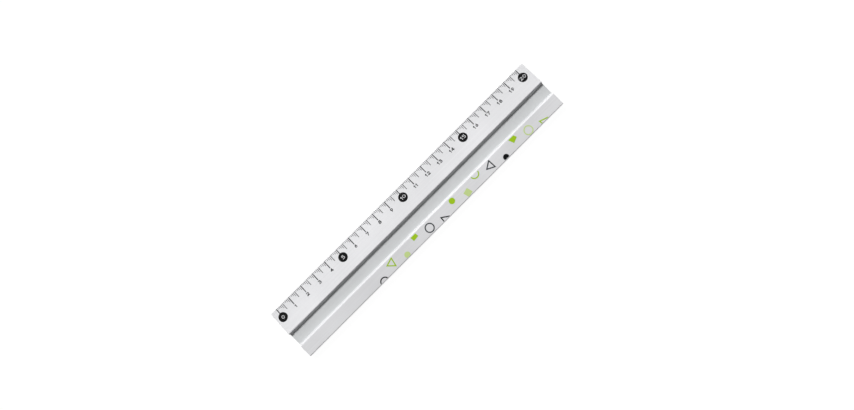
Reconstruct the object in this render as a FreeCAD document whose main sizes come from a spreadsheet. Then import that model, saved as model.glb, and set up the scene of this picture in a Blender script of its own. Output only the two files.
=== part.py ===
import FreeCAD, Part
import os
import Sketcher

# An aluminium ruler for 20 cm. It is one length of extruded section, cut off and printed.
# Across, from the scale edge: a sloping scale face, a slanted step, a finger channel, a slanted
# wall and a raised rail. Below, two shallow grooves leave an even wall under the crest and rail.
# X runs along the scale from 0 to 20, Y points from the rail to the scale edge and Z points up.
# The origin is the middle of the underside. All sizes are in millimetres.

SIZES = [
    ("graduation", 1.0, "pitch of the millimetre marks"),
    ("zero_inset", 4.4, "left end to the zero mark"),
    ("end_inset", 5.6, "last mark to the right end"),
    ("face_width", 16.0, "scale face, from the thin edge to the crest"),
    ("step_run", 1.2, "slanted step, seen from above"),
    ("channel_width", 7.5, "floor of the finger channel"),
    ("ramp_run", 1.15, "slanted wall from the channel up to the rail, seen from above"),
    ("rail_width", 8.3, "flat top of the rail"),
    ("edge_height", 1.0, "thickness of the scale edge"),
    ("crest_height", 4.8, "height of the crest"),
    ("floor_height", 2.35, "height of the channel floor"),
    ("rail_height", 4.9, "height of the rail"),
    ("wall", 1.6, "wall above and beside the grooves in the underside"),
    ("relief_inset", 1.0, "groove to the crest or to the top of the ramp, seen from above"),
    ("relief_start", 6.5, "scale edge to the first groove"),
    ("edge_radius", 0.25, "rounding of the thin edge"),
    ("crest_radius", 0.6, "rounding of the crest"),
    ("foot_radius", 0.2, "hollow at the foot of the step"),
    ("rail_radius", 0.35, "rounding of the ramp and of the rail's foot"),
    ("side_radius", 0.6, "rounding of the rail's low side"),
    ("end_chamfer", 0.15, "broken edge all round the sawn ends"),
    ("corner_radius", 0.7, "blunted corners of the thin edge, seen from above"),
    ("ink", 0.04, "thickness of the print"),
    ("print_margin", 0.25, "bare strip along the scale edge"),
    ("mark_width", 0.28, "width of a millimetre mark"),
    ("half_width", 0.38, "width of a half centimetre mark"),
    ("centimetre_width", 0.54, "width of a centimetre mark"),
    ("mark_one", 1.05, "end of the 1 and 6 mm marks, from the scale edge"),
    ("mark_two", 1.45, "end of the 2 and 7 mm marks"),
    ("mark_three", 2.0, "end of the 3 and 8 mm marks"),
    ("mark_four", 3.0, "end of the 4 and 9 mm marks"),
    ("half_mark", 4.7, "end of the half centimetre marks"),
    ("centimetre_mark", 5.65, "end of the centimetre marks"),
    ("disc_mark", 3.6, "end of the marks that lead to a disc"),
    ("disc_radius", 2.92, "radius of the number discs"),
    ("digit_height", 2.1, "height of a numeral"),
    ("digit_width", 1.95, "width of a numeral, apart from the narrow 1"),
    ("digit_gap", 0.4, "space between the two numerals of a number"),
    ("digit_line", 0.44, "line that a numeral is drawn with"),
    ("bare_line", 0.3, "line of the bare numerals in the discs"),
    ("number_gap", 0.5, "centimetre mark to the number below it"),
    ("confetti_start", 62.0, "left end to the first figure on the rail"),
    ("confetti_step", 10.2, "figure to figure along the rail"),
    ("confetti_line", 0.7, "line that the open figures are drawn with"),
    ("ring_radius", 3.0, "outside of a ring"),
    ("dot_radius", 1.9, "radius of a dot"),
    ("triangle_radius", 3.7, "middle to corner of a triangle"),
    ("square_radius", 2.8, "middle to corner of a square"),
    ("rail_margin", 0.65, "bare strip along both sides of the rail"),
]

# How the scale is divided
CENTIMETRES = 20
PER_CENTIMETRE = 10
PER_HALF = 5
DISC_EVERY = 5

# Colours of the figures on the rail, dealt out in turn. The four shapes take turns beside them.
CONFETTI_COLOURS = ["black", "lime", "pale_green", "lime", "grey"]
CONFETTI_COUNT = 14
GOLDEN_SHARE = 0.618
TURN_STEP = 47

# Places across the section, from the low side of the rail, and along the ruler, from its left end
RAIL_TOP = "sizes.rail_width"
CHANNEL_END = f"({RAIL_TOP} + sizes.ramp_run)"
STEP_FOOT = f"({CHANNEL_END} + sizes.channel_width)"
CREST = f"({STEP_FOOT} + sizes.step_run)"
SCALE_EDGE = f"({CREST} + sizes.face_width)"
FACE_RISE = "(sizes.crest_height - sizes.edge_height)"
LENGTH = (
    f"(sizes.zero_inset + {CENTIMETRES * PER_CENTIMETRE} * sizes.graduation + sizes.end_inset)"
)


def make_sheet(doc):
    sheet = doc.addObject("Spreadsheet::Sheet", "sizes")
    for row, (alias, value, meaning) in enumerate(SIZES, start=1):
        sheet.set(f"A{row}", meaning)
        sheet.set(f"B{row}", str(value))
        sheet.setAlias(f"B{row}", alias)
    doc.recompute()
    return sheet


def value(sheet, expression):
    return float(sheet.evalExpression(expression))


def mark_place(count):
    """Distance of a mark from the left end, as an expression."""
    return f"(sizes.zero_inset + {count} * sizes.graduation)"


def origin_plane(body, role):
    return next(part for part in body.Origin.OriginFeatures if part.Role == role)


def new_sketch(body, role, name):
    sketch = body.newObject("Sketcher::SketchObject", name)
    sketch.AttachmentSupport = (origin_plane(body, role), [""])
    sketch.MapMode = "FlatFace"
    return sketch


def add_outline(sheet, sketch, corners, below=False):
    """A closed outline of straight lines. Each corner is fixed by two expressions; with below,
    the second one is the distance under the sketch's horizontal axis."""
    side = -1 if below else 1
    points = [
        FreeCAD.Vector(value(sheet, x), side * value(sheet, y), 0) for x, y in corners
    ]
    first = sketch.GeometryCount
    for start, end in zip(points, points[1:] + points[:1]):
        sketch.addGeometry(Part.LineSegment(start, end), False)
    for number, (x, y) in enumerate(corners):
        line = first + number
        before = first + (number - 1) % len(corners)
        sketch.addConstraint(Sketcher.Constraint("Coincident", before, 2, line, 1))
        bind_corner(sheet, sketch, line, x, y, below)


def bind_corner(sheet, sketch, line, x, y, below):
    across = Sketcher.Constraint("DistanceX", -1, 1, line, 1, value(sheet, x))
    ends = (line, 1, -1, 1) if below else (-1, 1, line, 1)
    up = Sketcher.Constraint("DistanceY", *ends, value(sheet, y))
    for constraint, expression in ((across, x), (up, y)):
        index = sketch.addConstraint(constraint)
        sketch.setExpression(f"Constraints[{index}]", expression)


def add_pad(body, sketch, length):
    pad = body.newObject("PartDesign::Pad", f"{sketch.Name}_pad")
    pad.Profile = sketch
    pad.setExpression("Length", length)
    sketch.Visibility = False
    body.Document.recompute()
    return pad


def section_corners():
    """The extruded section, anticlockwise from the low side of the rail, and its named corners."""
    rail_groove_top = "sizes.rail_height - sizes.wall"
    rail_groove_end = f"{RAIL_TOP} - sizes.relief_inset"
    face_groove_near = f"{CREST} + sizes.relief_inset"
    face_groove_far = f"{SCALE_EDGE} - sizes.relief_start"
    roof_near = (
        f"sizes.crest_height - sizes.wall - {FACE_RISE} * sizes.relief_inset / sizes.face_width"
    )
    roof_far = (
        f"sizes.edge_height - sizes.wall + {FACE_RISE} * sizes.relief_start / sizes.face_width"
    )
    return {
        "rail_base": ("0", "0"),
        "rail_groove_base": ("sizes.wall", "0"),
        "rail_groove_roof": ("sizes.wall", rail_groove_top),
        "rail_groove_corner": (rail_groove_end, rail_groove_top),
        "rail_groove_end": (rail_groove_end, "0"),
        "face_groove_end": (face_groove_near, "0"),
        "face_groove_corner": (face_groove_near, roof_near),
        "face_groove_roof": (face_groove_far, roof_far),
        "face_groove_base": (face_groove_far, "0"),
        "edge_base": (SCALE_EDGE, "0"),
        "edge": (SCALE_EDGE, "sizes.edge_height"),
        "crest": (CREST, "sizes.crest_height"),
        "foot": (STEP_FOOT, "sizes.floor_height"),
        "channel_end": (CHANNEL_END, "sizes.floor_height"),
        "rail_inner": (RAIL_TOP, "sizes.rail_height"),
        "rail_outer": ("0", "sizes.rail_height"),
    }


def edges_along(sheet, shape, corners):
    """Names of the edges that run the whole length through the given corners of the section."""
    places = [(value(sheet, x), value(sheet, y)) for x, y in corners]
    names = []
    for number, edge in enumerate(shape.Edges, start=1):
        box = edge.BoundBox
        straight = box.YLength < 1e-6 and box.ZLength < 1e-6
        here = any(abs(box.YMin - y) < 1e-4 and abs(box.ZMin - z) < 1e-4 for y, z in places)
        if straight and here:
            names.append(f"Edge{number}")
    if len(names) != len(corners):
        raise RuntimeError(f"found {len(names)} edges for {len(corners)} corners")
    return names


def round_corners(sheet, body, base, corners, radius, name):
    fillet = body.newObject("PartDesign::Fillet", name)
    fillet.Base = (base, edges_along(sheet, base.Shape, corners))
    fillet.setExpression("Radius", f"sizes.{radius}")
    body.Document.recompute()
    return fillet


def break_ends(body, base):
    """A small chamfer round both sawn ends."""
    ends = [
        f"Face{number}"
        for number, face in enumerate(base.Shape.Faces, start=1)
        if face.BoundBox.XLength < 1e-6
    ]
    chamfer = body.newObject("PartDesign::Chamfer", "broken_ends")
    chamfer.Base = (base, ends)
    chamfer.setExpression("Size", "sizes.end_chamfer")
    body.Document.recompute()
    return chamfer


def make_ruler_body(doc, sheet):
    body = doc.addObject("PartDesign::Body", "extrusion")
    corners = section_corners()
    sketch = new_sketch(body, "YZ_Plane", "section")
    add_outline(sheet, sketch, list(corners.values()))
    feature = add_pad(body, sketch, LENGTH)
    roundings = [
        ("crest_radius", ["crest"]),
        ("foot_radius", ["foot"]),
        ("edge_radius", ["edge", "edge_base"]),
        ("rail_radius", ["channel_end", "rail_inner", "rail_base"]),
        ("side_radius", ["rail_outer"]),
    ]
    for radius, names in roundings:
        chosen = [corners[name] for name in names]
        feature = round_corners(sheet, body, feature, chosen, radius, f"{radius}_fillet")
    body.Tip = break_ends(body, feature)
    body.setExpression("Placement.Base.x", f"-{LENGTH} / 2")
    body.setExpression("Placement.Base.y", f"-{SCALE_EDGE} / 2")
    waste = [make_corner_waste(doc, name, side) for name, side in (("left", -1), ("right", 1))]
    blunted = doc.addObject("Part::Cut", "ruler_body")
    blunted.Base = body
    blunted.Tool = compound(doc, "corner_waste", waste)
    return blunted


def make_corner_waste(doc, name, side):
    """What is taken off one corner of the thin edge: a block round the corner less a cylinder."""
    block = doc.addObject("Part::Box", f"{name}_corner_block")
    block.setExpression("Length", "2 * sizes.corner_radius")
    block.setExpression("Width", "2 * sizes.corner_radius")
    block.setExpression("Placement.Base.x", f"{side} * {LENGTH} / 2 - sizes.corner_radius")
    round_part = doc.addObject("Part::Cylinder", f"{name}_corner_round")
    round_part.setExpression("Radius", "sizes.corner_radius")
    round_part.setExpression("Placement.Base.x", f"{side} * ({LENGTH} / 2 - sizes.corner_radius)")
    for solid in (block, round_part):
        solid.setExpression("Height", "sizes.crest_height")
        solid.setExpression("Placement.Base.y", f"{SCALE_EDGE} / 2 - sizes.corner_radius")
        solid.setExpression("Placement.Base.z", "-sizes.corner_radius")
    return hollow(doc, f"{name}_corner_waste", block, round_part)


def seat_on_face(node):
    """Lays a flat print on the sloping face. Its own origin is at the left end of the thin edge."""
    node.Placement = FreeCAD.Placement(
        FreeCAD.Vector(0, 0, 0), FreeCAD.Rotation(FreeCAD.Vector(-1, 0, 0), 10)
    )
    node.setExpression("Placement.Base.x", f"-{LENGTH} / 2")
    node.setExpression("Placement.Base.y", f"{SCALE_EDGE} / 2")
    node.setExpression("Placement.Base.z", "sizes.edge_height")
    node.setExpression("Placement.Rotation.Angle", f"atan({FACE_RISE} / sizes.face_width)")


def seat_on_rail(node):
    """Lays a flat print on the rail. Its own origin is at the left end of the rail's low side."""
    node.setExpression("Placement.Base.x", f"-{LENGTH} / 2")
    node.setExpression("Placement.Base.y", f"-{SCALE_EDGE} / 2")
    node.setExpression("Placement.Base.z", "sizes.rail_height")


def add_marks(sheet, body, name, marks, width, repeat_every, repeats):
    """One group of marks, each a count of millimetres and the size it ends at, then repeated."""
    sketch = new_sketch(body, "XY_Plane", name)
    for count, end in marks:
        left = f"{mark_place(count)} - sizes.{width} / 2"
        right = f"{mark_place(count)} + sizes.{width} / 2"
        near, far = "sizes.print_margin", f"sizes.{end}"
        add_outline(sheet, sketch, [(left, far), (right, far), (right, near), (left, near)], True)
    pad = add_pad(body, sketch, "sizes.ink")
    pattern = body.newObject("PartDesign::LinearPattern", f"{name}_row")
    pattern.Originals = [pad]
    pattern.Direction = (origin_plane(body, "X_Axis"), [""])
    pattern.Occurrences = repeats
    pattern.setExpression("Length", f"{repeat_every * (repeats - 1)} * sizes.graduation")
    body.Tip = pattern
    body.Document.recompute()


def make_scale_marks(doc, sheet):
    body = doc.addObject("PartDesign::Body", "scale_marks")
    body.AllowCompound = True
    halves = CENTIMETRES * PER_CENTIMETRE // PER_HALF
    discs = CENTIMETRES // DISC_EVERY
    between = DISC_EVERY * PER_CENTIMETRE
    steps = [(1, "mark_one"), (2, "mark_two"), (3, "mark_three"), (4, "mark_four")]
    centimetres = [
        (count * PER_CENTIMETRE, "centimetre_mark") for count in range(1, DISC_EVERY)
    ]
    add_marks(sheet, body, "millimetres", steps, "mark_width", PER_HALF, halves)
    add_marks(
        sheet, body, "halves", [(PER_HALF, "half_mark")], "half_width", PER_CENTIMETRE, CENTIMETRES
    )
    add_marks(sheet, body, "centimetres", centimetres, "centimetre_width", between, discs)
    add_marks(
        sheet, body, "disc_marks", [(0, "disc_mark")], "centimetre_width", between, discs + 1
    )
    seat_on_face(body)
    return body


# Each numeral is a list of strokes in a cell of width 1 and height 1. A stroke is a list of
# points: two values go straight to a point, four values bend through one point to the next.
NUMERALS = {
    "0": [[(0.5, 1), (1, 0.5, 0.5, 0), (0, 0.5, 0.5, 1)]],
    "1": [[(0.1, 0.75), (0.75, 1), (0.75, 0)]],
    "2": [[(0.03, 0.72), (0.5, 1, 0.95, 0.66), (0, 0), (1, 0)]],
    "3": [
        [(0.08, 1), (0.62, 1), (0.88, 0.77, 0.62, 0.54), (0.35, 0.54)],
        [(0.62, 0.54), (0.95, 0.27, 0.62, 0), (0.03, 0)],
    ],
    "4": [[(0.7, 0), (0.7, 1), (0, 0.28), (1, 0.28)]],
    "5": [[(0.9, 1), (0.14, 1), (0.14, 0.6), (0.58, 0.6), (0.96, 0.3, 0.58, 0), (0.03, 0)]],
    "6": [[(0.5, 0.66), (0.88, 0.33, 0.5, 0), (0.12, 0.33, 0.5, 0.66)], [(0.17, 0.45), (0.66, 1)]],
    "7": [[(0, 1), (1, 1), (0.35, 0)]],
    "8": [
        [(0.4, 0.54), (0.16, 0.77, 0.4, 1), (0.6, 1), (0.84, 0.77, 0.6, 0.54), (0.4, 0.54)],
        [(0.33, 0.54), (0.05, 0.27, 0.33, 0), (0.67, 0), (0.95, 0.27, 0.67, 0.54)],
    ],
    "9": [[(0.5, 1), (0.88, 0.67, 0.5, 0.34), (0.12, 0.67, 0.5, 1)], [(0.83, 0.55), (0.34, 0)]],
}
NARROW_ONE = 0.6
BEND_FLATS = 8


def flat_face(corners):
    return Part.Face(Part.makePolygon(corners + corners[:1]))


def bar_face(start, end, line):
    """A straight stroke with square ends, half a line longer than its two points."""
    along = (end - start).normalize() * (line / 2)
    aside = FreeCAD.Vector(-along.y, along.x, 0)
    start, end = start - along, end + along
    return flat_face([start - aside, end - aside, end + aside, start + aside])


def bend_face(start, middle, end, line):
    """A stroke along the arc through three points, in short flats that keep the print light."""
    arc = Part.Arc(start, middle, end).toShape()
    centre, radius = arc.Curve.Center, arc.Curve.Radius
    points = arc.discretize(BEND_FLATS + 1)
    outer = [centre + (point - centre) * (1 + line / 2 / radius) for point in points]
    inner = [centre + (point - centre) * (1 - line / 2 / radius) for point in points]
    return flat_face(outer + inner[::-1])


def stroke_faces(stroke, width, height, line):
    def place(x, y):
        return FreeCAD.Vector(x * width, y * height, 0)

    faces = []
    last = place(*stroke[0])
    for step in stroke[1:]:
        end = place(*step[-2:])
        if len(step) == 4:
            faces.append(bend_face(last, place(*step[:2]), end, line))
        else:
            faces.append(bar_face(last, end, line))
        last = end
    return faces


def digit_solids(digit, width, height, line, ink):
    faces = []
    for stroke in NUMERALS[digit]:
        faces += stroke_faces(stroke, width, height, line)
    strokes = [face.extrude(FreeCAD.Vector(0, 0, ink)) for face in faces]
    return strokes[0].multiFuse(strokes[1:]).removeSplitter().Solids


def numeral_width(digit, width):
    return width * NARROW_ONE if digit == "1" else width


def number_shape(sheet, text, line_name):
    """A number as flat print, centred on its own origin."""
    height, width, gap, line, ink = (
        value(sheet, f"sizes.{name}")
        for name in ("digit_height", "digit_width", "digit_gap", line_name, "ink")
    )
    widths = [numeral_width(digit, width) for digit in text]
    left = -(sum(widths) + gap * (len(text) - 1)) / 2
    solids = []
    for digit, cell in zip(text, widths):
        corner = FreeCAD.Vector(left + line / 2, (line - height) / 2, 0)
        for solid in digit_solids(digit, cell - line, height - line, line, ink):
            solids.append(solid.translated(corner))
        left += cell + gap
    return Part.makeCompound(solids)


def make_number(doc, sheet, count, setback, line_name):
    number = doc.addObject("Part::Feature", f"number_{count}")
    number.Shape = number_shape(sheet, str(count), line_name)
    number.setExpression("Placement.Base.x", mark_place(count * PER_CENTIMETRE))
    number.setExpression("Placement.Base.y", f"-({setback})")
    return number


def compound(doc, name, parts):
    group = doc.addObject("Part::Compound", name)
    group.Links = parts
    return group


def make_numbers(doc, sheet):
    """The plain numbers, under the centimetre marks that have no disc."""
    setback = "sizes.centimetre_mark + sizes.number_gap + sizes.digit_height / 2"
    plain = [count for count in range(CENTIMETRES + 1) if count % DISC_EVERY]
    numbers = [make_number(doc, sheet, count, setback, "digit_line") for count in plain]
    node = compound(doc, "numbers", numbers)
    seat_on_face(node)
    return node


def make_number_discs(doc, sheet):
    """A disc at every fifth centimetre, with its number left bare in it."""
    setback = "sizes.disc_mark + sizes.disc_radius"
    discs, numbers = [], []
    for count in range(0, CENTIMETRES + 1, DISC_EVERY):
        disc = doc.addObject("Part::Cylinder", f"disc_{count}")
        disc.setExpression("Radius", "sizes.disc_radius")
        disc.setExpression("Height", "sizes.ink")
        disc.setExpression("Placement.Base.x", mark_place(count * PER_CENTIMETRE))
        disc.setExpression("Placement.Base.y", f"-({setback})")
        discs.append(disc)
        numbers.append(make_number(doc, sheet, count, setback, "bare_line"))
    node = doc.addObject("Part::Cut", "number_discs")
    node.Base = compound(doc, "discs", discs)
    node.Tool = compound(doc, "bare_numbers", numbers)
    seat_on_face(node)
    return node


def make_disc(doc, name, radius):
    disc = doc.addObject("Part::Cylinder", name)
    disc.setExpression("Radius", radius)
    disc.setExpression("Height", "sizes.ink")
    return disc


def make_prism(doc, name, sides, radius):
    prism = doc.addObject("Part::Prism", name)
    prism.Polygon = sides
    prism.setExpression("Circumradius", radius)
    prism.setExpression("Height", "sizes.ink")
    return prism


def hollow(doc, name, outer, inner):
    cut = doc.addObject("Part::Cut", name)
    cut.Base = outer
    cut.Tool = inner
    return cut


def make_ring(doc, name):
    outer = make_disc(doc, f"{name}_outer", "sizes.ring_radius")
    inner = make_disc(doc, f"{name}_inner", "sizes.ring_radius - sizes.confetti_line")
    return hollow(doc, name, outer, inner)


def make_triangle(doc, name):
    # A line of even width takes its width twice off the distance from middle to corner.
    outer = make_prism(doc, f"{name}_outer", 3, "sizes.triangle_radius")
    inner = make_prism(doc, f"{name}_inner", 3, "sizes.triangle_radius - 2 * sizes.confetti_line")
    return hollow(doc, name, outer, inner)


def make_dot(doc, name):
    return make_disc(doc, name, "sizes.dot_radius")


def make_square(doc, name):
    return make_prism(doc, name, 4, "sizes.square_radius")


def make_confetti(doc):
    """Small figures scattered along the rail, each trimmed to the rail's printed field."""
    shapes = [make_ring, make_triangle, make_dot, make_square]
    by_colour = {colour: [] for colour in CONFETTI_COLOURS}
    for count in range(CONFETTI_COUNT):
        figure = shapes[count % len(shapes)](doc, f"figure_{count}")
        share = (count * GOLDEN_SHARE) % 1
        figure.Placement = FreeCAD.Placement(
            FreeCAD.Vector(0, 0, 0), FreeCAD.Rotation(FreeCAD.Vector(0, 0, 1), TURN_STEP * count)
        )
        along = f"sizes.confetti_start + {count} * sizes.confetti_step"
        figure.setExpression("Placement.Base.x", along)
        figure.setExpression("Placement.Base.y", f"sizes.rail_width * {share:.3f}")
        by_colour[CONFETTI_COLOURS[count % len(CONFETTI_COLOURS)]].append(figure)
    return [trim_to_rail(doc, colour, figures) for colour, figures in by_colour.items()]


def trim_to_rail(doc, colour, figures):
    field = doc.addObject("Part::Box", f"rail_field_{colour}")
    field.setExpression("Length", f"{LENGTH} - 2 * sizes.rail_margin")
    field.setExpression("Width", "sizes.rail_width - 2 * sizes.rail_margin")
    field.setExpression("Height", "sizes.ink")
    field.setExpression("Placement.Base.x", "sizes.rail_margin")
    field.setExpression("Placement.Base.y", "sizes.rail_margin")
    node = doc.addObject("Part::Common", f"rail_print_{colour}")
    node.Base = field
    node.Tool = compound(doc, f"figures_{colour}", figures)
    seat_on_rail(node)
    return node


def check_document(doc, nodes):
    doc.recompute()
    for part in doc.Objects:
        if "Invalid" in part.State or "Error" in part.State:
            raise RuntimeError(f"{part.Label} failed: {part.State}")
    for node in nodes:
        if node.Shape.isNull() or not node.Shape.isValid():
            raise RuntimeError(f"{node.Label} has no valid shape")


def main():
    doc = FreeCAD.newDocument("aluminium_ruler")
    sheet = make_sheet(doc)
    nodes = [
        make_ruler_body(doc, sheet),
        make_scale_marks(doc, sheet),
        make_numbers(doc, sheet),
        make_number_discs(doc, sheet),
    ]
    nodes += make_confetti(doc)
    check_document(doc, nodes)
    os.makedirs("parts", exist_ok=True)
    for node in nodes:
        shape = node.Shape
        box = shape.BoundBox
        print(
            f"{node.Label}: {len(shape.Solids)} solids, {shape.Volume:.3f} mm3, "
            f"x {box.XMin:.2f} {box.XMax:.2f} y {box.YMin:.2f} {box.YMax:.2f} "
            f"z {box.ZMin:.3f} {box.ZMax:.3f}"
        )
        shape.exportStep(f"parts/{node.Label}.step")


main()
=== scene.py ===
# %% [markdown]
# # A 20 cm aluminium ruler
# The real ruler is one length of extruded aluminium, sawn off, anodised and screen printed.
# The frame holds it as plain solids at their real size. Here the extrusion gets its fine
# roundings, the scale its marks, and each surface its finish. The frame is loaded first and
# never changed, so the picture can't alter the part's size.

# %% Load the frame
import math

import bpy
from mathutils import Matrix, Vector


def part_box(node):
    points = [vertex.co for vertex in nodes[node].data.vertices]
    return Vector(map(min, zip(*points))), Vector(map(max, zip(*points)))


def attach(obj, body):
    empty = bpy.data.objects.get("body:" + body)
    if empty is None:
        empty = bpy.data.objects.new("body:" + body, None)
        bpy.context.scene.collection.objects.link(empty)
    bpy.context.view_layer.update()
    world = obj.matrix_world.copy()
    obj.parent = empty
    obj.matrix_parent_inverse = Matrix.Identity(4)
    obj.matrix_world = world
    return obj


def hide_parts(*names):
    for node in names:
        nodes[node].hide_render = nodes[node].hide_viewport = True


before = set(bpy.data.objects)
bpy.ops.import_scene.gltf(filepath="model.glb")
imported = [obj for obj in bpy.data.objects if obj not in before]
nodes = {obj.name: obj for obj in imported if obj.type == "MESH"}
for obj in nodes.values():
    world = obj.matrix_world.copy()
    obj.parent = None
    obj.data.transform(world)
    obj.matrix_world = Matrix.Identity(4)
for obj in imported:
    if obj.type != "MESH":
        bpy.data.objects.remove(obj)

scene = bpy.context.scene
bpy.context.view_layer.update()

# %% [markdown]
# ## Sizes
# Blender works in metres, so a size in millimetres is multiplied by MM. The overall length,
# width and height are read from the frame. The sizes across the section are those of the
# extrusion's drawing, counted from the thin scale edge to the low side of the rail.

# %% Sizes of the section
MM = 0.001

body_low, body_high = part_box("ruler_body")
LENGTH = body_high.x - body_low.x
WIDTH = body_high.y - body_low.y
RAIL_HEIGHT = body_high.z

FACE_WIDTH = 16.0 * MM
STEP_RUN = 1.2 * MM
CHANNEL_WIDTH = 7.5 * MM
RAMP_RUN = 1.15 * MM
RAIL_WIDTH = WIDTH - FACE_WIDTH - STEP_RUN - CHANNEL_WIDTH - RAMP_RUN

EDGE_HEIGHT = 1.0 * MM
CREST_HEIGHT = 4.8 * MM
CHANNEL_HEIGHT = 2.35 * MM
FACE_SLOPE = (CREST_HEIGHT - EDGE_HEIGHT) / FACE_WIDTH

EDGE_RADIUS = 0.25 * MM
CREST_RADIUS = 0.6 * MM
FOOT_RADIUS = 0.2 * MM
RAIL_RADIUS = 0.35 * MM
SIDE_RADIUS = 0.6 * MM
print("rail width in mm:", round(RAIL_WIDTH / MM, 2))

# %% [markdown]
# ## Two helpers
# Materials and Geometry Nodes are both trees of nodes. One small function adds a node, sets
# its options and fills its inputs, each with a plain value or with a link from another node.
# A second one turns the hex colours of a picture into the linear values that Blender uses.

# %% Add a node, read a colour
def add_node(tree, kind, inputs=None, **settings):
    node = tree.nodes.new(kind)
    for name, setting in settings.items():
        setattr(node, name, setting)
    for socket, source in (inputs or {}).items():
        if isinstance(source, bpy.types.NodeSocket):
            tree.links.new(source, node.inputs[socket])
        else:
            node.inputs[socket].default_value = source
    return node


def linear(hex_colour):
    """An sRGB colour such as #D9DBDD as linear red, green, blue and alpha."""
    shares = [int(hex_colour[place : place + 2], 16) / 255 for place in (1, 3, 5)]
    return [
        share / 12.92 if share <= 0.04045 else ((share + 0.055) / 1.055) ** 2.4
        for share in shares
    ] + [1.0]


print("mid grey #808080 in linear:", round(linear("#808080")[0], 3))

# %% [markdown]
# ## The camera
# The photograph looks straight down on the ruler, which lies at 45 degrees in the picture. The
# ruler keeps its place, so it is the camera that turns. Its height comes from how far the high
# parts of the sawn ends stand out in the picture, and its lens from the printed centimetres.

# %% Camera over the ruler
PICTURE_WIDTH_PX = 854
PX_PER_MM = 1.6895
CAMERA_DISTANCE = 500 * MM
AIM_X = 6.17 * MM
AIM_Y = -2.56 * MM
PICTURE_TURN = math.radians(-45)
SENSOR_WIDTH = 36.0
NEAREST_SEEN = 10 * MM

camera_data = bpy.data.cameras.new("camera")
camera_data.sensor_width = SENSOR_WIDTH
seen_width = PICTURE_WIDTH_PX / PX_PER_MM * MM
camera_data.lens = SENSOR_WIDTH * CAMERA_DISTANCE / seen_width
camera_data.clip_start = NEAREST_SEEN
camera = bpy.data.objects.new("camera", camera_data)
camera.location = (AIM_X, AIM_Y, EDGE_HEIGHT + CAMERA_DISTANCE)
camera.rotation_euler = (0, 0, PICTURE_TURN)
scene.collection.objects.link(camera)
scene.camera = camera
scene.view_settings.view_transform = "Standard"
print("lens in mm:", round(camera_data.lens, 2))

# %% [markdown]
# ## The lamp
# In the picture, the step down to the finger channel throws a short shadow with a soft edge.
# Where that edge starts and ends gives the lamp's height and its size: a softbox at 46 degrees
# on the side of the scale edge. It stands far off, so that the whole length is lit evenly.

# %% Softbox
KEY_HEIGHT = math.radians(46)
KEY_DISTANCE = 2.5
KEY_SIZE = 0.55
KEY_WATTS = 65.0

key_data = bpy.data.lights.new("softbox", "AREA")
key_data.shape = "SQUARE"
key_data.size = KEY_SIZE
key_data.energy = KEY_WATTS
key = bpy.data.objects.new("softbox", key_data)
towards_lamp = Vector((0, math.cos(KEY_HEIGHT), math.sin(KEY_HEIGHT)))
key.location = towards_lamp * KEY_DISTANCE
key.rotation_euler = towards_lamp.to_track_quat("Z", "Y").to_euler()
scene.collection.objects.link(key)
half_angle = math.degrees(math.atan(KEY_SIZE / 2 / KEY_DISTANCE))
print("the softbox spans", round(2 * half_angle, 1), "degrees")

# %% [markdown]
# ## The room
# A photographer's room is white around the table and dark under the ceiling. The camera and
# the reflections see it so: white at the horizon, dim overhead. To matt surfaces it gives only
# a weak fill, most of it from the lamp's side, as from a white wall behind the lamp. So a slope
# that is turned away from the lamp stays dark. The Light Path node tells the two apart.

# %% White room with a dim ceiling
WALL_STRENGTH = 1.0
CEILING_STRENGTH = 0.15
WALL_TOP, CEILING_EDGE = 0.3, 0.9
FILL_LAMP_SIDE = 0.45
FILL_FAR_SIDE = 0.01
LAMP_SIDE, FAR_SIDE = 0.8, -0.4


def seen_directly(tree):
    """1 for a camera ray, a reflection and a ray through glass, else 0."""
    path = add_node(tree, "ShaderNodeLightPath")
    kinds = ["Is Camera Ray", "Is Glossy Ray", "Is Transmission Ray"]
    seen = path.outputs[kinds[0]]
    for kind in kinds[1:]:
        either = add_node(
            tree, "ShaderNodeMath", {0: seen, 1: path.outputs[kind]}, operation="MAXIMUM"
        )
        seen = either.outputs[0]
    return seen


world = bpy.data.worlds.new("white_room")
scene.world = world
world.use_nodes = True
sky = world.node_tree
sky.nodes.clear()
direction = add_node(sky, "ShaderNodeTexCoord")
towards = add_node(sky, "ShaderNodeSeparateXYZ", {0: direction.outputs["Generated"]})
backdrop = add_node(
    sky,
    "ShaderNodeMapRange",
    {
        "Value": towards.outputs["Z"],
        "From Min": WALL_TOP,
        "From Max": CEILING_EDGE,
        "To Min": WALL_STRENGTH,
        "To Max": CEILING_STRENGTH,
    },
    interpolation_type="SMOOTHSTEP",
)
fill = add_node(
    sky,
    "ShaderNodeMapRange",
    {
        "Value": towards.outputs["Y"],
        "From Min": FAR_SIDE,
        "From Max": LAMP_SIDE,
        "To Min": FILL_FAR_SIDE,
        "To Max": FILL_LAMP_SIDE,
    },
)
strength = add_node(
    sky,
    "ShaderNodeMix",
    {"Factor": seen_directly(sky), "A": fill.outputs[0], "B": backdrop.outputs[0]},
    data_type="FLOAT",
)
light = add_node(
    sky, "ShaderNodeBackground", {"Color": (1, 1, 1, 1), "Strength": strength.outputs[0]}
)
add_node(sky, "ShaderNodeOutputWorld", {"Surface": light.outputs[0]})
print("room:", world.name, len(sky.nodes), "nodes")

# %% [markdown]
# ## The paper
# The ruler lies on white paper. A camera sees the paper mostly as plain white, with a small
# share of its real shading mixed in, so that a faint shadow is left beside the ruler. Further
# off the paper is all white, so that no horizon shows. All other light meets plain matt paper.

# %% White paper under the ruler
PAPER_SIZE = 6.0
PAPER_COLOUR = "#F2F2F2"
PAPER_WHITE = 0.95
PAPER_GLOW = 1.03
SHADOW_REACH = 0.15
ALL_WHITE_FROM = 0.45


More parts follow.
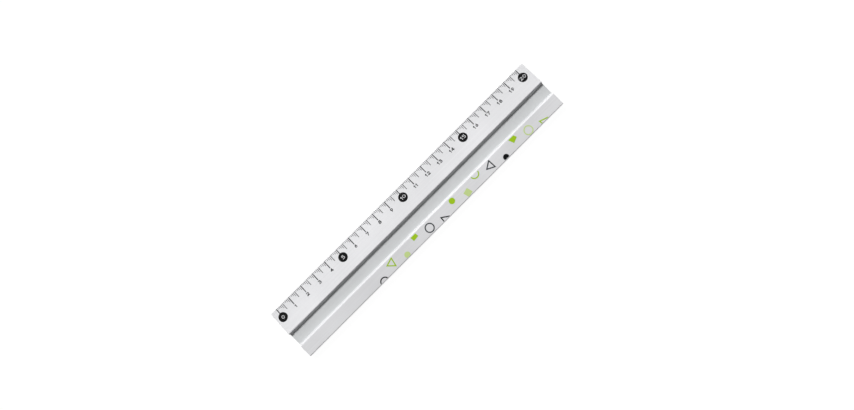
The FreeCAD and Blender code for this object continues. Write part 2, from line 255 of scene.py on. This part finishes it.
def new_material(name):
    material = bpy.data.materials.new(name)
    material.use_nodes = True
    material.node_tree.nodes.clear()
    return material, material.node_tree


paper, tree = new_material("white_paper")
matt = add_node(tree, "ShaderNodeBsdfDiffuse", {"Color": linear(PAPER_COLOUR)})
glow = add_node(tree, "ShaderNodeEmission", {"Strength": PAPER_GLOW})
where = add_node(tree, "ShaderNodeTexCoord")
distance = add_node(
    tree, "ShaderNodeVectorMath", {0: where.outputs["Object"]}, operation="LENGTH"
)
whiter = add_node(
    tree,
    "ShaderNodeMapRange",
    {
        "Value": distance.outputs["Value"],
        "From Min": SHADOW_REACH,
        "From Max": ALL_WHITE_FROM,
        "To Min": PAPER_WHITE,
        "To Max": 1.0,
    },
)
share = add_node(
    tree,
    "ShaderNodeMath",
    {0: seen_directly(tree), 1: whiter.outputs[0]},
    operation="MULTIPLY",
)
both = add_node(
    tree, "ShaderNodeMixShader", {0: share.outputs[0], 1: matt.outputs[0], 2: glow.outputs[0]}
)
add_node(tree, "ShaderNodeOutputMaterial", {"Surface": both.outputs[0]})

paper_mesh = bpy.data.meshes.new("paper")
half = PAPER_SIZE / 2
paper_mesh.from_pydata(
    [(-half, -half, 0), (half, -half, 0), (half, half, 0), (-half, half, 0)], [], [(0, 1, 2, 3)]
)
paper_mesh.materials.append(paper)
floor = bpy.data.objects.new("paper", paper_mesh)
scene.collection.objects.link(floor)
print("paper:", PAPER_SIZE, "m square")

# %% [markdown]
# ## Patterns for the finishes
# A real surface is never one flat colour: it has lines, grain, patches. One helper makes such a
# pattern from noise whose grain has a size in millimetres along each axis. It reads Object
# coordinates, so the pattern keeps its real size and stays where it is on the piece. A second
# helper mixes two colours by a pattern.

# %% Noise in real sizes, a mix of two colours
def noise_of(tree, place, grain, detail=2.0):
    """Noise from 0 to 1 whose grain has the given sizes along X, Y and Z, in metres."""
    scaled = add_node(
        tree, "ShaderNodeMapping", {"Vector": place, "Scale": [1 / size for size in grain]}
    )
    return add_node(
        tree,
        "ShaderNodeTexNoise",
        {"Vector": scaled.outputs[0], "Scale": 1.0, "Detail": detail},
    ).outputs[0]


def mix_colours(tree, factor, first, second):
    ends = {0: factor, 6: linear(first), 7: linear(second)}
    return add_node(tree, "ShaderNodeMix", ends, data_type="RGBA").outputs[2]


# %% [markdown]
# ## Anodised aluminium
# The ruler is extruded aluminium. Its scale face and rail are brushed along the ruler, then
# the whole length is etched to an even satin and anodised. That leaves fine lines along the
# ruler and a grain all over, while the sawn ends show the lines of the saw. All of these are
# finer than a pixel, so they are drawn coarser than they are, just coarse enough to show.

# %% Aluminium: lines, grain and patches
BRUSH_LINE = 0.3 * MM  # drawn coarser: a real one is under 0.1 mm wide
BRUSH_LINE_LENGTH = 80 * MM
ETCH_GRAIN = 0.12 * MM  # drawn coarser: real etching pits are some hundredths wide
SAW_LINE = 0.4 * MM  # from one line to the next, about what a saw tooth leaves
TONE_PATCH = 35 * MM
SAW_WOBBLE = 1.5
END_FACES_FROM = 0.9  # how far a face has to look along X to be a sawn end
WAVE_TURN = 2 * math.pi / 20  # the Wave texture's own length, in its units, from line to line

aluminium, tree = new_material("satin_anodised_aluminium")
where = add_node(tree, "ShaderNodeTexCoord")
place = where.outputs["Object"]
brush_lines = noise_of(tree, place, (BRUSH_LINE_LENGTH, BRUSH_LINE, BRUSH_LINE), detail=3.0)
grain = noise_of(tree, place, [ETCH_GRAIN] * 3)
patches = noise_of(tree, place, [TONE_PATCH] * 3)
saw_lines = add_node(
    tree,
    "ShaderNodeTexWave",
    {"Vector": place, "Scale": WAVE_TURN / SAW_LINE, "Distortion": SAW_WOBBLE},
    bands_direction="Y",
)
facing = add_node(tree, "ShaderNodeSeparateXYZ", {0: where.outputs["Normal"]})
along = add_node(tree, "ShaderNodeMath", {0: facing.outputs["X"]}, operation="ABSOLUTE")
on_end = add_node(
    tree, "ShaderNodeMath", {0: along.outputs[0], 1: END_FACES_FROM}, operation="GREATER_THAN"
)
lines = add_node(
    tree,
    "ShaderNodeMix",
    {"Factor": on_end.outputs[0], "A": brush_lines, "B": saw_lines.outputs[1]},
    data_type="FLOAT",
)
print("patterns on the aluminium:", len(tree.nodes), "nodes")

# %% [markdown]
# Lines and grain together are the relief, which a Bump node turns into shading. A groove is
# also a little rougher than the land beside it, so the lines steer the roughness too.

# %% Aluminium: relief and roughness
RELIEF_DEPTH = 0.03 * MM
RELIEF_STRENGTH = 0.6
GRAIN_SHARE = 0.5
LAND, GROOVE = 0.3, 0.7
ROUGHEST, SMOOTHEST = 0.88, 0.76

relief = add_node(
    tree,
    "ShaderNodeMath",
    {0: grain, 1: GRAIN_SHARE, 2: lines.outputs[0]},
    operation="MULTIPLY_ADD",
)
bump = add_node(
    tree,
    "ShaderNodeBump",
    {"Strength": RELIEF_STRENGTH, "Distance": RELIEF_DEPTH, "Height": relief.outputs[0]},
)
rough = add_node(
    tree,
    "ShaderNodeMapRange",
    {
        "Value": lines.outputs[0],
        "From Min": LAND,
        "From Max": GROOVE,
        "To Min": SMOOTHEST,
        "To Max": ROUGHEST,
    },
)
print("roughness:", SMOOTHEST, "to", ROUGHEST)

# %% [markdown]
# The tone drifts a little from place to place and from line to line. It also rises from the
# thin edge to the rail: that is painted shade on the scale face and painted light on the rail.
# In the picture the floor of the finger channel is a tone darker than the rail, though both lie
# flat. That is shade in the hollow, painted here: the channel and the foot of its ramp get two
# darker tones of painted shade.

# %% Aluminium: tones, with painted light on the rail and painted shade on face and channel
BRUSHED_TONES = ("#D0D0D2", "#E2E2E4")
# These two darker tones are painted shade in the finger channel.
CHANNEL_SHADE_TONES = ("#C6C8C9", "#D0D2D3")
# Painted light and shade: the tone rises from the scale face (darker) to the rail (lighter).
PAINTED_LIGHT_TO_RAIL = 0.2
DARKEST_AT, LIGHTEST_AT = 0.6, 1.4
SHADED_CHANNEL_WIDTH = CHANNEL_WIDTH + RAMP_RUN / 3
SHADED_CHANNEL_MIDDLE = WIDTH / 2 - FACE_WIDTH - STEP_RUN - SHADED_CHANNEL_WIDTH / 2

spot = add_node(tree, "ShaderNodeSeparateXYZ", {0: place})
# Across the width: painted shade on the scale face, painted light on the rail, plus patches.
across = add_node(
    tree,
    "ShaderNodeMath",
    {0: spot.outputs["Y"], 1: -PAINTED_LIGHT_TO_RAIL / (WIDTH / 2), 2: patches},
    operation="MULTIPLY_ADD",
)
drift_and_painted_light = add_node(
    tree, "ShaderNodeMath", {0: across.outputs[0], 1: lines.outputs[0]}, operation="ADD"
)
streaks_and_painted_light = add_node(
    tree,
    "ShaderNodeMapRange",
    {"Value": drift_and_painted_light.outputs[0], "From Min": DARKEST_AT, "From Max": LIGHTEST_AT},
)
# Painted shade: the channel floor and the foot of its ramp take the darker tones.
in_painted_shade = add_node(
    tree,
    "ShaderNodeMath",
    {0: spot.outputs["Y"], 1: SHADED_CHANNEL_MIDDLE, 2: SHADED_CHANNEL_WIDTH / 2},
    operation="COMPARE",
)
tone = add_node(
    tree,
    "ShaderNodeMix",
    {
        0: in_painted_shade.outputs[0],
        6: mix_colours(tree, streaks_and_painted_light.outputs[0], *BRUSHED_TONES),
        7: mix_colours(tree, streaks_and_painted_light.outputs[0], *CHANNEL_SHADE_TONES),
    },
    data_type="RGBA",
)
# Width of the painted shade across the channel:
print("plain skin in mm:", round(SHADED_CHANNEL_WIDTH / MM, 2), "wide")

# %% [markdown]
# Bare aluminium is a full metal, Metallic 1. Here light also has to pass the frosted oxide, and
# in the picture nothing mirrors the room: each slope is as bright as it faces the lamp, as on
# matt paint. So Metallic came down until the slopes matched, and what is left of it is small.
# The oxide's own soft gloss is a thin coat.

# %% Aluminium: the shader
METAL_SHARE = 0.05
OXIDE_GLOSS = 0.4
OXIDE_ROUGHNESS = 0.2

finish = add_node(
    tree,
    "ShaderNodeBsdfPrincipled",
    {
        "Base Color": tone.outputs[2],
        "Metallic": METAL_SHARE,
        "Roughness": rough.outputs[0],
        "Normal": bump.outputs[0],
        "Coat Weight": OXIDE_GLOSS,
        "Coat Roughness": OXIDE_ROUGHNESS,
    },
)
add_node(tree, "ShaderNodeOutputMaterial", {"Surface": finish.outputs[0]})
print("aluminium:", len(tree.nodes), "nodes")

# %% [markdown]
# ## Screen print
# Scale and figures are printed with matt two-part ink straight on the anodised face. The ink
# is thin and even. Where the screen's threads crossed, a little less of it lies, which shows
# as a faint mottle in its colour and as a fine bump. The threads are about 0.1 mm apart, so
# the mottle is drawn coarser. The film is so matt that little light comes back from its top.

# %% Materials: the inks
SCREEN_MOTTLE = 0.25 * MM
FILM_RELIEF = 0.01 * MM
FILM_RELIEF_STRENGTH = 0.3
INK_ROUGHNESS = 0.6
INK_SHINE = 0.08


def screen_ink(name, dense, thin):
    """A matt ink in its dense colour and in that of its thinner spots."""
    ink, tree = new_material(name)
    where = add_node(tree, "ShaderNodeTexCoord")
    mottle = noise_of(tree, where.outputs["Object"], [SCREEN_MOTTLE] * 3)
    bump = add_node(
        tree,
        "ShaderNodeBump",
        {"Strength": FILM_RELIEF_STRENGTH, "Distance": FILM_RELIEF, "Height": mottle},
    )
    finish = add_node(
        tree,
        "ShaderNodeBsdfPrincipled",
        {
            "Base Color": mix_colours(tree, mottle, dense, thin),
            "Roughness": INK_ROUGHNESS,
            "Specular IOR Level": INK_SHINE,
            "Normal": bump.outputs[0],
        },
    )
    add_node(tree, "ShaderNodeOutputMaterial", {"Surface": finish.outputs[0]})
    return ink


inks = {
    "black": screen_ink("black_screen_ink", "#040506", "#0A0B0D"),
    "lime": screen_ink("lime_screen_ink", "#9AC21C", "#A4C92A"),
    "pale_green": screen_ink("pale_green_screen_ink", "#BFD489", "#C7DA95"),
    "grey": screen_ink("grey_screen_ink", "#35393D", "#3F4347"),
}
print("inks:", ", ".join(inks))

# %% [markdown]
# ## Geometry Nodes from a script
# Three helpers serve every tree below. The first makes a tree with named inputs. The second
# puts it on an object and fills the inputs: a modifier stores each under its socket's
# identifier, not its name. The third turns what the tree shows into a plain mesh of its own.

# %% Helpers for Geometry Nodes
def new_geometry_tree(name, sockets):
    """A tree with a geometry output and the given inputs: each a name and a kind of socket."""
    tree = bpy.data.node_groups.new(name, "GeometryNodeTree")
    tree.interface.new_socket("Geometry", in_out="OUTPUT", socket_type="NodeSocketGeometry")
    for socket, kind in sockets.items():
        tree.interface.new_socket(socket, in_out="INPUT", socket_type=f"NodeSocket{kind}")
    return tree, add_node(tree, "NodeGroupInput").outputs


def run_tree(thing, tree, values):
    modifier = thing.modifiers.new(tree.name, "NODES")
    modifier.node_group = tree
    for socket in tree.interface.items_tree:
        if socket.in_out == "INPUT" and socket.name in values:
            modifier[socket.identifier] = values[socket.name]


def working_object(name, mesh=None):
    thing = bpy.data.objects.new(name, mesh or bpy.data.meshes.new(name))
    scene.collection.objects.link(thing)
    return thing


def finished_piece(name, working):
    """A new object with the mesh that the working object's modifiers show."""
    evaluated = working.evaluated_get(bpy.context.evaluated_depsgraph_get())
    mesh = bpy.data.meshes.new_from_object(evaluated)
    mesh.name = name
    bpy.data.objects.remove(working)
    return working_object(name, mesh)


def end_tree(tree, geometry, material):
    """Every tree ends so: real geometry instead of instances, and its material set."""
    real = add_node(tree, "GeometryNodeRealizeInstances", {0: geometry})
    dressed = add_node(tree, "GeometryNodeSetMaterial", {0: real.outputs[0], 2: material})
    add_node(tree, "NodeGroupOutput", {0: dressed.outputs[0]})


print("helpers are ready")

# %% [markdown]
# ## The section
# An extrusion is one outline pushed straight through. The outline could be drawn with all its
# roundings, but a die is drawn as here: sharp corners, each with the radius that it gets. The
# mesh below holds nothing but those corners, and the radius is an attribute of each point.

# %% Corners of the section
GROOVE_WALL = 1.6 * MM
GROOVE_INSET = 1.0 * MM
GROOVE_START = 6.5 * MM

low_side = -WIDTH / 2
rail_end = low_side + RAIL_WIDTH
channel_end = rail_end + RAMP_RUN
foot = channel_end + CHANNEL_WIDTH
crest = foot + STEP_RUN
scale_edge = WIDTH / 2
rail_groove_roof = RAIL_HEIGHT - GROOVE_WALL
face_groove_high = CREST_HEIGHT - GROOVE_WALL - FACE_SLOPE * GROOVE_INSET
face_groove_low = EDGE_HEIGHT - GROOVE_WALL + FACE_SLOPE * GROOVE_START

CORNERS = [
    (low_side, 0, RAIL_RADIUS),
    (low_side + GROOVE_WALL, 0, 0),
    (low_side + GROOVE_WALL, rail_groove_roof, 0),
    (rail_end - GROOVE_INSET, rail_groove_roof, 0),
    (rail_end - GROOVE_INSET, 0, 0),
    (crest + GROOVE_INSET, 0, 0),
    (crest + GROOVE_INSET, face_groove_high, 0),
    (scale_edge - GROOVE_START, face_groove_low, 0),
    (scale_edge - GROOVE_START, 0, 0),
    (scale_edge, 0, EDGE_RADIUS),
    (scale_edge, EDGE_HEIGHT, EDGE_RADIUS),
    (crest, CREST_HEIGHT, CREST_RADIUS),
    (foot, CHANNEL_HEIGHT, FOOT_RADIUS),
    (channel_end, CHANNEL_HEIGHT, RAIL_RADIUS),
    (rail_end, RAIL_HEIGHT, RAIL_RADIUS),
    (low_side, RAIL_HEIGHT, SIDE_RADIUS),
]

section = bpy.data.meshes.new("section")
section.from_pydata(
    [(across, up, 0) for across, up, radius in CORNERS],
    [(count, (count + 1) % len(CORNERS)) for count in range(len(CORNERS))],
    [],
)
radii = section.attributes.new("corner_radius", "FLOAT", "POINT")
radii.data.foreach_set("value", [radius for across, up, radius in CORNERS])
print("section:", len(CORNERS), "corners")

# %% [markdown]
# ## The tree that extrudes it
# Mesh to Curve and Fillet Curve round the corners, Fill Curve makes the outline a face, and
# Extrude Mesh pushes it along X. The first face stays behind as the near end, so it is turned
# to look outwards, and the seam is merged. The edges of both ends get a bevel weight.

# %% Geometry Nodes: extrude a section
WELD_DISTANCE = 0.001 * MM
ENDS_FROM = 0.499  # of the length, counted from the middle

tree, given = new_geometry_tree(
    "extrude_section",
    {"Geometry": "Geometry", "Length": "Float", "Steps": "Int", "Material": "Material"},
)
radius = add_node(
    tree, "GeometryNodeInputNamedAttribute", {"Name": "corner_radius"}, data_type="FLOAT"
)
outline = add_node(tree, "GeometryNodeMeshToCurve", {"Mesh": given["Geometry"]})
rounded = add_node(
    tree,
    "GeometryNodeFilletCurve",
    {"Curve": outline.outputs[0], "Radius": radius.outputs[0], "Count": given["Steps"]},
    mode="POLY",
)
filled = add_node(tree, "GeometryNodeFillCurve", {"Curve": rounded.outputs[0]}, mode="NGONS")
back = add_node(tree, "ShaderNodeMath", {0: given["Length"], 1: -0.5}, operation="MULTIPLY")
near_place = add_node(tree, "ShaderNodeCombineXYZ", {"X": back.outputs[0]})
upright = add_node(
    tree,
    "GeometryNodeTransform",
    {
        "Geometry": filled.outputs[0],
        "Translation": near_place.outputs[0],
        "Rotation": (math.pi / 2, 0, math.pi / 2),
    },
)
pushed = add_node(
    tree,
    "GeometryNodeExtrudeMesh",
    {
        "Mesh": upright.outputs[0],
        "Offset": (1, 0, 0),
        "Offset Scale": given["Length"],
        "Individual": False,
    },
    mode="FACES",
)
near_end = add_node(tree, "GeometryNodeFlipFaces", {"Mesh": upright.outputs[0]})
joined = add_node(tree, "GeometryNodeJoinGeometry")
for part in (pushed, near_end):
    tree.links.new(part.outputs[0], joined.inputs[0])
welded = add_node(
    tree, "GeometryNodeMergeByDistance", {"Geometry": joined.outputs[0], "Distance": WELD_DISTANCE}
)
spot = add_node(tree, "GeometryNodeInputPosition")
parts = add_node(tree, "ShaderNodeSeparateXYZ", {0: spot.outputs[0]})
off_middle = add_node(tree, "ShaderNodeMath", {0: parts.outputs["X"]}, operation="ABSOLUTE")
nearly = add_node(tree, "ShaderNodeMath", {0: given["Length"], 1: ENDS_FROM}, operation="MULTIPLY")
at_end = add_node(
    tree,
    "ShaderNodeMath",
    {0: off_middle.outputs[0], 1: nearly.outputs[0]},
    operation="GREATER_THAN",
)
weighted = add_node(
    tree,
    "GeometryNodeStoreNamedAttribute",
    {0: welded.outputs[0], "Name": "bevel_weight_edge", "Value": at_end.outputs[0]},
    data_type="FLOAT",
    domain="EDGE",
)
end_tree(tree, weighted.outputs[0], given["Material"])
print("tree:", tree.name, len(tree.nodes), "nodes")

# %% [markdown]
# ## Blunted corners
# The thin edge would end in two needle points, so its corners are blunted. Two small blocks
# with a hollow quarter round stand for what the file takes off. They are flat outlines, made
# thick by a Solidify modifier, and are cut away from the ruler in the next step.

# %% What is filed off the corners
CORNER_RADIUS = 0.7 * MM
CORNER_STEPS = 8


def corner_outline(end):
    """Seen from above, what is taken off the corner at the left (-1) or the right (1) end."""
    middle_x, middle_y = end * (LENGTH / 2 - CORNER_RADIUS), scale_edge - CORNER_RADIUS
    far_x, far_y = end * (LENGTH / 2 + CORNER_RADIUS), scale_edge + CORNER_RADIUS
    turns = [math.pi / 2 * step / CORNER_STEPS for step in range(CORNER_STEPS + 1)]
    quarter = [
        (
            middle_x + end * CORNER_RADIUS * math.sin(turn),
            middle_y + CORNER_RADIUS * math.cos(turn),
        )
        for turn in turns
    ]
    outline = quarter + [(far_x, middle_y), (far_x, far_y), (middle_x, far_y)]
    return outline[::end]


points, faces = [], []
for end in (-1, 1):
    outline = corner_outline(end)
    faces.append(range(len(points), len(points) + len(outline)))
    points += [(x, y, -CORNER_RADIUS) for x, y in outline]
filed_mesh = bpy.data.meshes.new("filed_off")
filed_mesh.from_pydata(points, [], faces)
filed_mesh.materials.append(aluminium)
filed_off = working_object("filed_off", filed_mesh)
thick = filed_off.modifiers.new("thick", "SOLIDIFY")
thick.thickness = EDGE_HEIGHT + 2 * CORNER_RADIUS
thick.offset = 1
print("filed off:", [round(polygon.normal.z) for polygon in filed_mesh.polygons])

# %% [markdown]
# ## The ruler's body
# The tree runs on the section. Then a Bevel modifier breaks the sawn ends where the weight
# tells it to, and a Boolean modifier takes the corners off. Rounded strips and large flats
# meet smoothly only if the flats keep their own direction, so a Weighted Normal modifier
# follows. The result is one plain mesh.

# %% Body: section, bevel, corners and smooth shading
FILLET_STEPS = 8
END_BREAK = 0.15 * MM
END_BREAK_STEPS = 3
SHARP_ANGLE = math.radians(30)

body = working_object("section_working", section)
run_tree(body, tree, {"Length": LENGTH, "Steps": FILLET_STEPS, "Material": aluminium})
bevel = body.modifiers.new("broken_ends", "BEVEL")
bevel.limit_method = "WEIGHT"
bevel.width = END_BREAK
bevel.segments = END_BREAK_STEPS
bevel.use_clamp_overlap = False
blunt = body.modifiers.new("blunted_corners", "BOOLEAN")
blunt.operation = "DIFFERENCE"
blunt.solver = "EXACT"
blunt.material_mode = "TRANSFER"
blunt.object = filed_off
body = finished_piece("extrusion_working", body)
bpy.data.objects.remove(filed_off)
body.data.shade_smooth()
body.data.set_sharp_from_angle(angle=SHARP_ANGLE)
flats = body.modifiers.new("flats_stay_flat", "WEIGHTED_NORMAL")
flats.keep_sharp = True
body = finished_piece("extruded_body", body)
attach(body, "root")
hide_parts("ruler_body")
corners = [Vector(corner) for corner in body.bound_box]
sides = [max(c[axis] for c in corners) - min(c[axis] for c in corners) for axis in range(3)]
print("body in mm:", [round(side / MM, 3) for side in sides], len(body.data.polygons), "faces")

# %% [markdown]
# ## The scale
# 201 marks stand one millimetre apart. They could be drawn one by one, but they follow a rule:
# the count of a mark, divided by 5, by 10 and by 50, tells how long and how wide it is. So one
# tree puts a bar on each point of a line and reads its size from the point's index.

# %% Geometry Nodes: marks of a scale
PER_HALF, PER_CENTIMETRE, PER_DISC = 5, 10, 50
ENDS = ["Half End", "One End", "Two End", "Three End", "Four End"]
sizes = ["Pitch", "Bare Strip", "Ink", *ENDS, "Centimetre End", "Disc End"]
sizes += ["Fine Width", "Half Width", "Centimetre Width"]
tree, given = new_geometry_tree(
    "scale_marks",
    {"Count": "Int", "Material": "Material", "Start": "Vector", "Tilt": "Vector"}
    | {size: "Float" for size in sizes},
)
count = add_node(tree, "GeometryNodeInputIndex")


def left_over(divisor):
    """What is left of the mark's count after the division."""
    node = add_node(
        tree, "ShaderNodeMath", {0: count.outputs[0], 1: divisor}, operation="FLOORED_MODULO"
    )
    return node.outputs[0]


def where_whole(divisor, otherwise, then):
    """A size that changes where the count divides evenly."""
    whole = add_node(tree, "ShaderNodeMath", {0: left_over(divisor), 1: 0.5}, operation="LESS_THAN")
    node = add_node(
        tree,
        "GeometryNodeSwitch",
        {0: whole.outputs[0], 1: otherwise, 2: then},
        input_type="FLOAT",
    )
    return node.outputs[0]


steps = add_node(tree, "GeometryNodeIndexSwitch", data_type="FLOAT")
while len(steps.index_switch_items) < len(ENDS):
    steps.index_switch_items.new()
tree.links.new(left_over(PER_HALF), steps.inputs[0])
for place_in_five, end in enumerate(ENDS):
    tree.links.new(given[end], steps.inputs[1 + place_in_five])
far = where_whole(PER_CENTIMETRE, steps.outputs[0], given["Centimetre End"])
far = where_whole(PER_DISC, far, given["Disc End"])
width = where_whole(PER_HALF, given["Fine Width"], given["Half Width"])
width = where_whole(PER_CENTIMETRE, width, given["Centimetre Width"])

length = add_node(tree, "ShaderNodeMath", {0: far, 1: given["Bare Strip"]}, operation="SUBTRACT")
both_ends = add_node(tree, "ShaderNodeMath", {0: far, 1: given["Bare Strip"]}, operation="ADD")
middle = add_node(tree, "ShaderNodeMath", {0: both_ends.outputs[0], 1: -0.5}, operation="MULTIPLY")
half_ink = add_node(tree, "ShaderNodeMath", {0: given["Ink"], 1: 0.5}, operation="MULTIPLY")
size = add_node(
    tree, "ShaderNodeCombineXYZ", {0: width, 1: length.outputs[0], 2: given["Ink"]}
)
seat = add_node(tree, "ShaderNodeCombineXYZ", {1: middle.outputs[0], 2: half_ink.outputs[0]})
pitch = add_node(tree, "ShaderNodeCombineXYZ", {0: given["Pitch"]})
row = add_node(
    tree, "GeometryNodeMeshLine", {"Count": given["Count"], "Offset": pitch.outputs[0]}
)
places = add_node(
    tree, "GeometryNodeSetPosition", {"Geometry": row.outputs[0], "Offset": seat.outputs[0]}
)
bar = add_node(tree, "GeometryNodeMeshCube", {"Size": (1, 1, 1)})
bars = add_node(
    tree,
    "GeometryNodeInstanceOnPoints",
    {"Points": places.outputs[0], "Instance": bar.outputs[0], "Scale": size.outputs[0]},
)
seated = add_node(
    tree,
    "GeometryNodeTransform",
    {"Geometry": bars.outputs[0], "Translation": given["Start"], "Rotation": given["Tilt"]},
)
end_tree(tree, seated.outputs[0], given["Material"])
print("tree:", tree.name, len(tree.nodes), "nodes")

# %% [markdown]
# The tree's row of points starts at the zero mark, on the thin edge, and tilts with the face.
# In the photograph the four fine marks of each half centimetre grow step by step, from left to
# right. The marks at 0, 5, 10, 15 and 20 cm stop early, at their discs. A render softens thin
# lines more than the sharpened photograph does, so the marks are a little wider than measured.

# %% Scale marks
MARK_COUNT = 201
ZERO_INSET = 4.4 * MM
MARK_SIZES = {
    "Pitch": 1.0,
    "Bare Strip": 0.25,
    "Ink": 0.04,
    "One End": 1.05,
    "Two End": 1.45,
    "Three End": 2.0,
    "Four End": 3.0,
    "Half End": 4.7,
    "Centimetre End": 5.65,
    "Disc End": 3.6,
    "Fine Width": 0.28,
    "Half Width": 0.38,
    "Centimetre Width": 0.54,
}

marks = working_object("marks_working")
settings = {name: size * MM for name, size in MARK_SIZES.items()}
settings["Count"] = MARK_COUNT
settings["Start"] = (ZERO_INSET - LENGTH / 2, scale_edge, EDGE_HEIGHT)
settings["Tilt"] = (-math.atan(FACE_SLOPE), 0, 0)
settings["Material"] = inks["black"]
run_tree(marks, tree, settings)
marks = finished_piece("printed_scale", marks)
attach(marks, "root")
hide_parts("scale_marks")
FACES_PER_BAR = 6
print("scale:", len(marks.data.polygons) // FACES_PER_BAR, "marks")

# %% [markdown]
# ## Numbers, discs and figures
# The numerals, the discs with their bare numbers and the plain figures on the rail are flat
# print, and the frame's solids already have their shapes. So those solids stay, and each gets
# its ink.

# %% Ink on the frame's print
INK_OF = {
    "numbers": "black",
    "number_discs": "black",
    "rail_print_black": "black",
    "rail_print_lime": "lime",
    "rail_print_pale_green": "pale_green",
    "rail_print_grey": "grey",
}
for name, colour in INK_OF.items():
    mesh = nodes[name].data
    mesh.materials.clear()
    mesh.materials.append(inks[colour])
print("printed:", ", ".join(INK_OF))
